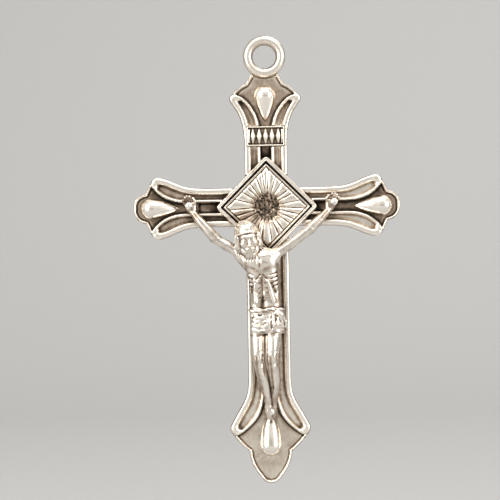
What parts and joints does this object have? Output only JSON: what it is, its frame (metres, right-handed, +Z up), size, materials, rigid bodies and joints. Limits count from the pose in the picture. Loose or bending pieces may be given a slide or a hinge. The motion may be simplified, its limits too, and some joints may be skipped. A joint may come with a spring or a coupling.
{
  "type": "crucifix pendant",
  "caption": "Small cross pendant with fleur ends, sunk slots, a rayed square plate at the crossing, a free-armed figure and an eye to hang it by.",
  "frame": {"origin": "centre of the suspension eye's bore, half way through its thickness", "axes": "+Z up along the cross's height as it hangs, -Y out of the front with the figure, +Y out of the flat back along the eye's bore, +X to the viewer's right"},
  "size_m": [0.0302, 0.0052, 0.0508],
  "materials": {
    "frame_silver": "cast antique silver plate, ridges polished bright, channels darkened",
    "plate_silver": "struck antique silver plate, rays bright, centre stippled and darkened",
    "boss_silver": "polished antique silver plate",
    "figure_silver": "polished antique silver plate with darkened folds",
    "nail_silver": "antique silver plate"
  },
  "bodies": {
    "root": {"cross_frame": "frame_silver", "suspension_eye": "frame_silver", "sunburst_plate": "plate_silver", "title_plaque": "plate_silver", "top_boss": "boss_silver", "left_boss": "boss_silver", "right_boss": "boss_silver", "foot_boss": "boss_silver", "corpus": "figure_silver", "hand_nails": "nail_silver", "foot_nail": "nail_silver"}
  },
  "joints": []
}
